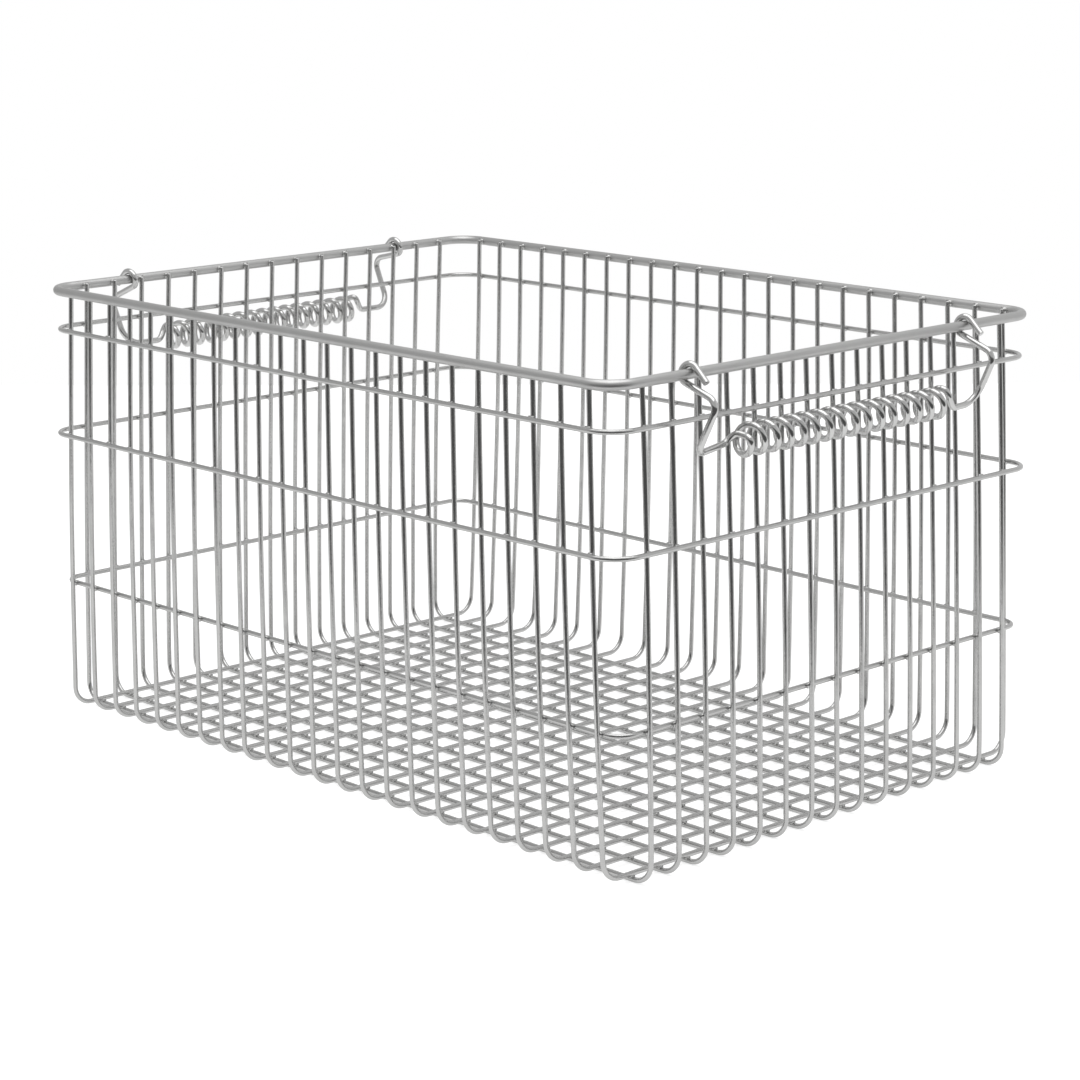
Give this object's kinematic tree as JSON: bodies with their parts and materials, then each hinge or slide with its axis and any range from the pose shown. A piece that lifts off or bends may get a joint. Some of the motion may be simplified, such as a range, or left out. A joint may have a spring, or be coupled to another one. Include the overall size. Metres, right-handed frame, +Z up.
{
  "type": "wire locker basket",
  "caption": "Deep rectangular basket of welded plated wire with a thick rim rod and a coiled-grip bail swinging on each end.",
  "frame": {"origin": "centre of the footprint, on the surface that the lowest floor wires rest on", "axes": "+X along the basket's length towards one bail, +Y across it towards a long side, +Z up to the rim"},
  "size_m": [0.4735, 0.3184, 0.2454],
  "materials": {
    "rim_plating": "plated, satin bright",
    "grid_plating": "plated, bright",
    "bail_plating": "plated, bright"
  },
  "bodies": {
    "basket": {"rim_rod": "rim_plating", "upper_hoop": "grid_plating", "middle_hoop": "grid_plating", "lower_hoop": "grid_plating", "cross_wire_01": "grid_plating", "cross_wire_02": "grid_plating", "cross_wire_03": "grid_plating", "cross_wire_04": "grid_plating", "cross_wire_05": "grid_plating", "cross_wire_06": "grid_plating", "cross_wire_07": "grid_plating", "cross_wire_08": "grid_plating", "cross_wire_09": "grid_plating", "cross_wire_10": "grid_plating", "cross_wire_11": "grid_plating", "cross_wire_12": "grid_plating", "cross_wire_13": "grid_plating", "cross_wire_14": "grid_plating", "cross_wire_15": "grid_plating", "cross_wire_16": "grid_plating", "cross_wire_17": "grid_plating", "cross_wire_18": "grid_plating", "cross_wire_19": "grid_plating", "cross_wire_20": "grid_plating", "cross_wire_21": "grid_plating", "cross_wire_22": "grid_plating", "cross_wire_23": "grid_plating", "long_wire_01": "grid_plating", "long_wire_02": "grid_plating", "long_wire_03": "grid_plating", "long_wire_04": "grid_plating", "long_wire_05": "grid_plating", "long_wire_06": "grid_plating", "long_wire_07": "grid_plating", "long_wire_08": "grid_plating", "long_wire_09": "grid_plating", "long_wire_10": "grid_plating", "long_wire_11": "grid_plating", "long_wire_12": "grid_plating", "long_wire_13": "grid_plating", "long_wire_14": "grid_plating", "long_wire_15": "grid_plating"},
    "right_bail": {"right_bail": "bail_plating"},
    "left_bail": {"left_bail": "bail_plating"}
  },
  "joints": [
    {"name": "right_bail_hinge", "type": "hinge", "parent": "basket", "child": "right_bail", "pos_m": [0.2166, 0, 0.2393], "axis": [0, -1, 0], "range_deg": [0, 290]},
    {"name": "left_bail_hinge", "type": "hinge", "parent": "basket", "child": "left_bail", "pos_m": [-0.2166, 0, 0.2393], "axis": [0, 1, 0], "range_deg": [0, 290]}
  ]
}
